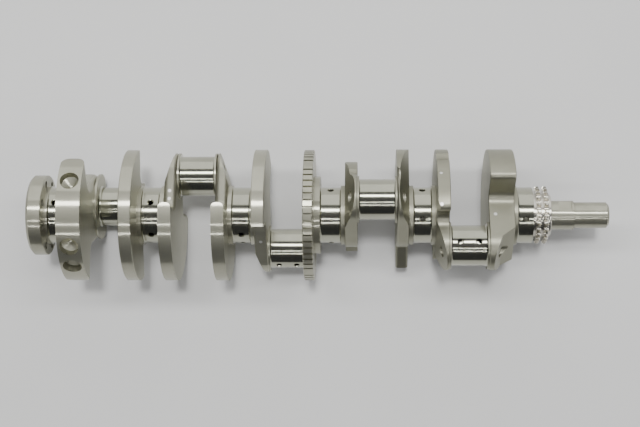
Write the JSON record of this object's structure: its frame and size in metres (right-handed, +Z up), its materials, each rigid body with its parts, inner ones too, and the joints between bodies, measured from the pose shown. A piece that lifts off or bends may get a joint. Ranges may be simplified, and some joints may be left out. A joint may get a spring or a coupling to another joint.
{
  "type": "crankshaft",
  "caption": "Long machined crankshaft with counterweighted throws, a slotted trigger disc, a timing sprocket on its nose and a flywheel flange.",
  "frame": {"origin": "on the crank axis, in the outer face of the flywheel flange", "axes": "+X along the crank axis from the flywheel flange to the nose, +Z up from the surface it lies on, square to it"},
  "size_m": [0.789, 0.18, 0.18],
  "materials": {
    "ground_journal": "ground and polished",
    "machined_web": "milled and turned",
    "turned_flange": "turned",
    "ground_nose": "ground",
    "sprocket_steel": "hobbed and hardened",
    "key_steel": "bright drawn",
    "gallery_plug": "bright",
    "pin_plug": "turned"
  },
  "bodies": {
    "root": {"crankpin_1": "ground_journal", "crankpin_2": "ground_journal", "crankpin_3": "ground_journal", "crankpin_4": "ground_journal", "crankpin_5": "ground_journal", "gallery_plugs_web_1": "gallery_plug", "gallery_plugs_web_2": "gallery_plug", "gallery_plugs_web_6": "gallery_plug", "gallery_plugs_web_8": "gallery_plug", "main_journal_1": "ground_journal", "main_journal_2": "ground_journal", "main_journal_3": "ground_journal", "main_journal_4": "ground_journal", "main_journal_5": "ground_journal", "main_journal_6": "ground_journal", "nose": "ground_nose", "pin_bore_plugs_1": "pin_plug", "pin_bore_plugs_2": "pin_plug", "pin_bore_plugs_3": "pin_plug", "pin_bore_plugs_4": "pin_plug", "pin_bore_plugs_5": "pin_plug", "rear_flange": "turned_flange", "sprocket_key": "key_steel", "timing_sprocket": "sprocket_steel", "trigger_disc_web_5": "machined_web", "web_1": "machined_web", "web_10": "machined_web", "web_2": "machined_web", "web_3": "machined_web", "web_4": "machined_web", "web_6": "machined_web", "web_7": "machined_web", "web_8": "machined_web", "web_9": "machined_web"}
  },
  "joints": []
}
